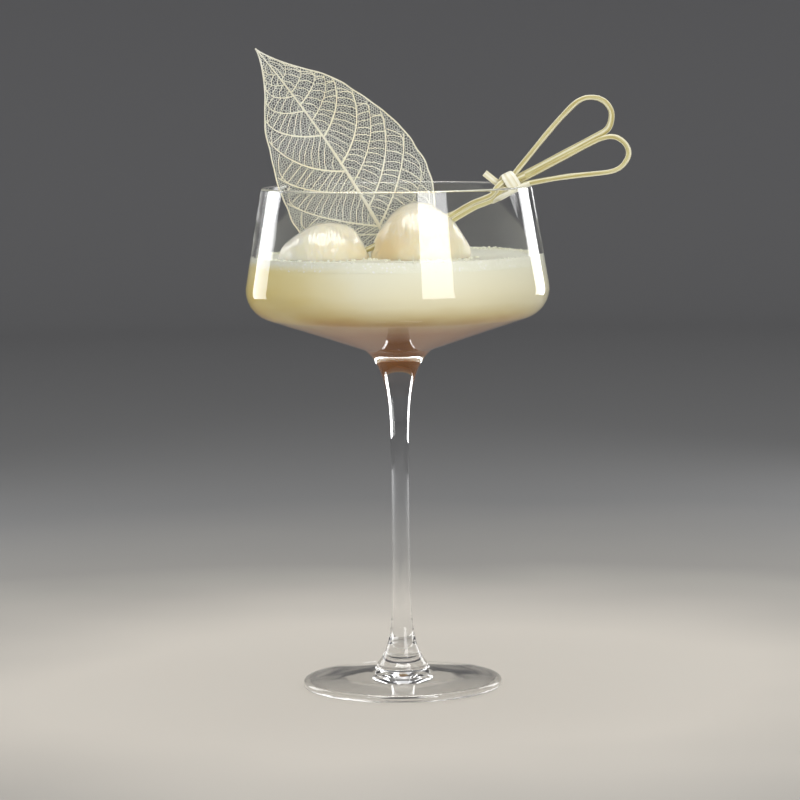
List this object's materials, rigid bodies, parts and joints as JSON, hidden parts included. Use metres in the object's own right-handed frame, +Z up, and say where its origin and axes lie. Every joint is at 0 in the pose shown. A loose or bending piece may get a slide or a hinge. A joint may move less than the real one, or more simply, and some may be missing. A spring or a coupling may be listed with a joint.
{
  "type": "cocktail glass",
  "caption": "Stemmed cocktail glass with a drawn-in bowl, holding a creamy drink dressed with lychees on a looped bamboo pick and a skeleton leaf.",
  "frame": {"origin": "centre of the flat underside of the foot, on the axis of the glass", "axes": "+Z up along the stem, +X to the right as seen from the front, where the pick's loops stand out, and -Y to the front"},
  "size_m": [0.1269, 0.1, 0.2119],
  "materials": {
    "clear_glass": "polished",
    "drink": "satin",
    "froth": "matte",
    "lychee_flesh": "gloss",
    "bamboo": "satin",
    "knot_band": "matte",
    "leaf_veins": "matte"
  },
  "bodies": {
    "glass": {"foot": "clear_glass", "stem": "clear_glass", "bowl": "clear_glass", "drink": "drink", "froth": "froth"},
    "pick": {"pick_shaft": "bamboo", "pick_loop_upper": "bamboo", "pick_loop_lower": "bamboo", "pick_knot": "knot_band"},
    "left_fruit": {"lychee_left": "lychee_flesh"},
    "right_fruit": {"lychee_right": "lychee_flesh"},
    "leaf": {"leaf": "leaf_veins"}
  },
  "joints": [
    {"name": "pick_lift", "type": "slide", "parent": "glass", "child": "pick", "axis": [0, 0, 1], "range_m": [0, 0.06], "deforming": ["drink", "froth"]},
    {"name": "left_fruit_pull", "type": "slide", "parent": "pick", "child": "left_fruit", "axis": [-0.9086, 0, -0.4177], "range_m": [0, 0.0068], "deforming": ["drink", "froth"]},
    {"name": "right_fruit_slide", "type": "slide", "parent": "pick", "child": "right_fruit", "axis": [0.9086, 0, 0.4177], "range_m": [0, 0.012], "deforming": ["drink", "froth"]},
    {"name": "leaf_lift", "type": "slide", "parent": "glass", "child": "leaf", "axis": [0, 0, 1], "range_m": [0, 0.05], "deforming": ["drink", "froth"]}
  ]
}
